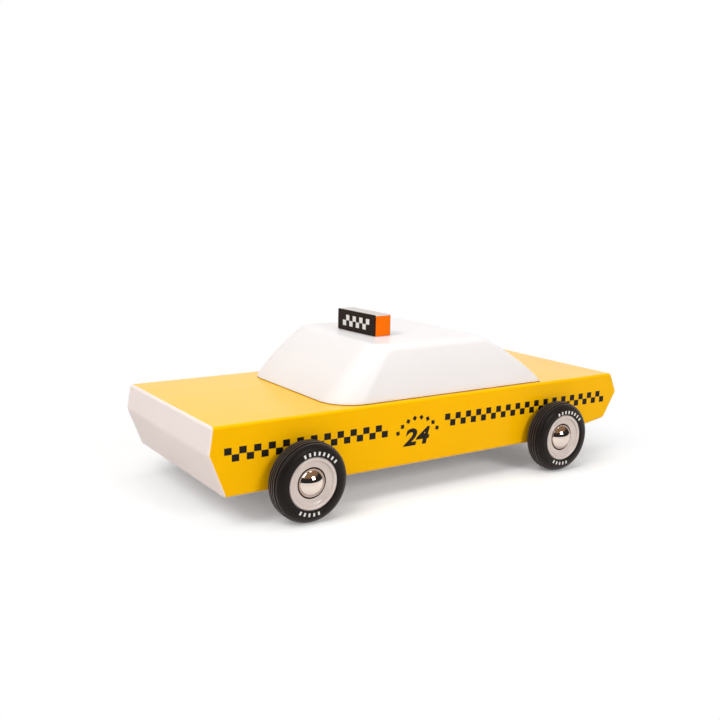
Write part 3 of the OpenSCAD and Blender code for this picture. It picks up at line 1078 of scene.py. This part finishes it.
def make_floor_finish():
    finish, tree, shader = new_finish("white_sweep")
    shader.inputs["Roughness"].default_value = FLOOR_ROUGHNESS
    shader.inputs["Specular IOR Level"].default_value = 0.0
    seen = seen_rays(tree)
    tree.links.new(mix_colours(tree, seen, FLOOR_BOUNCE, FLOOR_WHITE), shader.inputs["Base Color"])
    place = tree.nodes.new("ShaderNodeTexCoord")
    away = tree.nodes.new("ShaderNodeVectorMath")
    away.operation = "LENGTH"
    tree.links.new(place.outputs["Object"], away.inputs[0])
    # Painted light: for seen rays the floor glows a little near the toy, which lightens its shadow, and
    # fully white further out.
    fade = add_ramp(tree, away.outputs["Value"], FLOOR_FADE, FLOOR_SHADOW_GLOW, 1)
    white = tree.nodes.new("ShaderNodeEmission")
    mix = tree.nodes.new("ShaderNodeMixShader")
    tree.links.new(add_maths(tree, "MULTIPLY", fade, seen), mix.inputs["Fac"])
    tree.links.new(shader.outputs["BSDF"], mix.inputs[1])
    tree.links.new(white.outputs["Emission"], mix.inputs[2])
    tree.links.new(mix.outputs["Shader"], tree.nodes["Material Output"].inputs["Surface"])
    return finish


def make_floor():
    bm = bmesh.new()
    bmesh.ops.create_grid(bm, x_segments=1, y_segments=1, size=FLOOR_REACH)
    mesh = bpy.data.meshes.new("studio_floor")
    bm.to_mesh(mesh)
    bm.free()
    mesh.materials.append(make_floor_finish())
    floor = bpy.data.objects.new("studio_floor", mesh)
    bpy.context.scene.collection.objects.link(floor)


make_floor()
print("laid a floor", 2 * FLOOR_REACH, "m across")

# %% [markdown]
# ## The world
# The world is plain white to the camera and gives a soft, even light. An even world would leave the chrome
# flat, so reflected rays see a room instead: a pale wall behind the toy, which also pales the deck at a
# low angle, and on the camera's side a dim room with a wooden ceiling.

# %% World
FILL_LEVEL = 0.38
FILL_COLOUR = (1.0, 0.99, 0.98)
WALL_LEVEL = 1.1
WALL_TOP = (0.3, 0.7)
WALL_END = (-0.25, 0.15)
ROOM_LEVEL = 0.03
CEILING = (0.3, 0.19, 0.11)
CEILING_FOOT = (0.42, 0.62)
CEILING_START = (0.0, 0.2)
BACKGROUND = (1.0, 1.0, 1.0)


def room_colour(tree):
    """White to the camera. Reflected rays see a pale wall on the far side, a dim room and its ceiling."""
    place = tree.nodes.new("ShaderNodeTexCoord")
    way = tree.nodes.new("ShaderNodeSeparateXYZ")
    rays = tree.nodes.new("ShaderNodeLightPath").outputs
    tree.links.new(place.outputs["Generated"], way.inputs["Vector"])
    up, across = way.outputs["Z"], way.outputs["X"]
    wall = add_maths(
        tree, "MINIMUM",
        add_ramp(tree, up, WALL_TOP, WALL_LEVEL, ROOM_LEVEL),
        add_ramp(tree, across, WALL_END, WALL_LEVEL, ROOM_LEVEL),
    )
    over = add_maths(
        tree, "MULTIPLY",
        add_ramp(tree, up, CEILING_FOOT, 0, 1),
        add_ramp(tree, across, CEILING_START, 0, 1),
    )
    room = mix_colours(tree, over, wall, CEILING)
    return mix_colours(tree, rays["Is Camera Ray"], room, BACKGROUND)


def make_world():
    world = bpy.data.worlds.new("studio_world")
    world.use_nodes = True
    bpy.context.scene.world = world
    tree = world.node_tree
    tree.nodes.clear()
    out = tree.nodes.new("ShaderNodeOutputWorld")
    fill = tree.nodes.new("ShaderNodeBackground")
    fill.inputs["Color"].default_value = (*FILL_COLOUR, 1)
    fill.inputs["Strength"].default_value = FILL_LEVEL
    seen = tree.nodes.new("ShaderNodeBackground")
    seen.inputs["Strength"].default_value = 1.0
    mix = tree.nodes.new("ShaderNodeMixShader")
    tree.links.new(seen_rays(tree), mix.inputs["Fac"])
    tree.links.new(fill.outputs["Background"], mix.inputs[1])
    tree.links.new(seen.outputs["Background"], mix.inputs[2])
    tree.links.new(mix.outputs["Shader"], out.inputs["Surface"])
    tree.links.new(room_colour(tree), seen.inputs["Color"])


make_world()
print("the world fills at", FILL_LEVEL)

# %% [markdown]
# ## The lamps
# Three softboxes light the toy: a large one overhead for the deck and the roof, a small one at the side,
# which also makes the glint in the hubcaps, and one in front that lifts the nose and the windscreen. They
# all look at the floor under the middle of the toy.

# %% Lamps
LAMPS = [
    {"name": "overhead_softbox", "place": (-0.05, 0.05, 0.6), "size": 0.5, "watts": 1.2},
    {"name": "side_softbox", "place": (0.5, 0.08, 0.26), "size": 0.17, "watts": 1.05},
    {"name": "front_softbox", "place": (0.1, -0.42, 0.52), "size": 0.4, "watts": 2.3},
]


def make_lamp(name, place, size, watts):
    data = bpy.data.lights.new(name, "AREA")
    data.size = size
    data.energy = watts
    lamp = bpy.data.objects.new(name, data)
    lamp.location = place
    lamp.rotation_mode = "QUATERNION"
    lamp.rotation_quaternion = (-Vector(place)).to_track_quat("-Z", "Y")
    bpy.context.scene.collection.objects.link(lamp)


for lamp in LAMPS:
    make_lamp(**lamp)
print("hung", len(LAMPS), "softboxes")
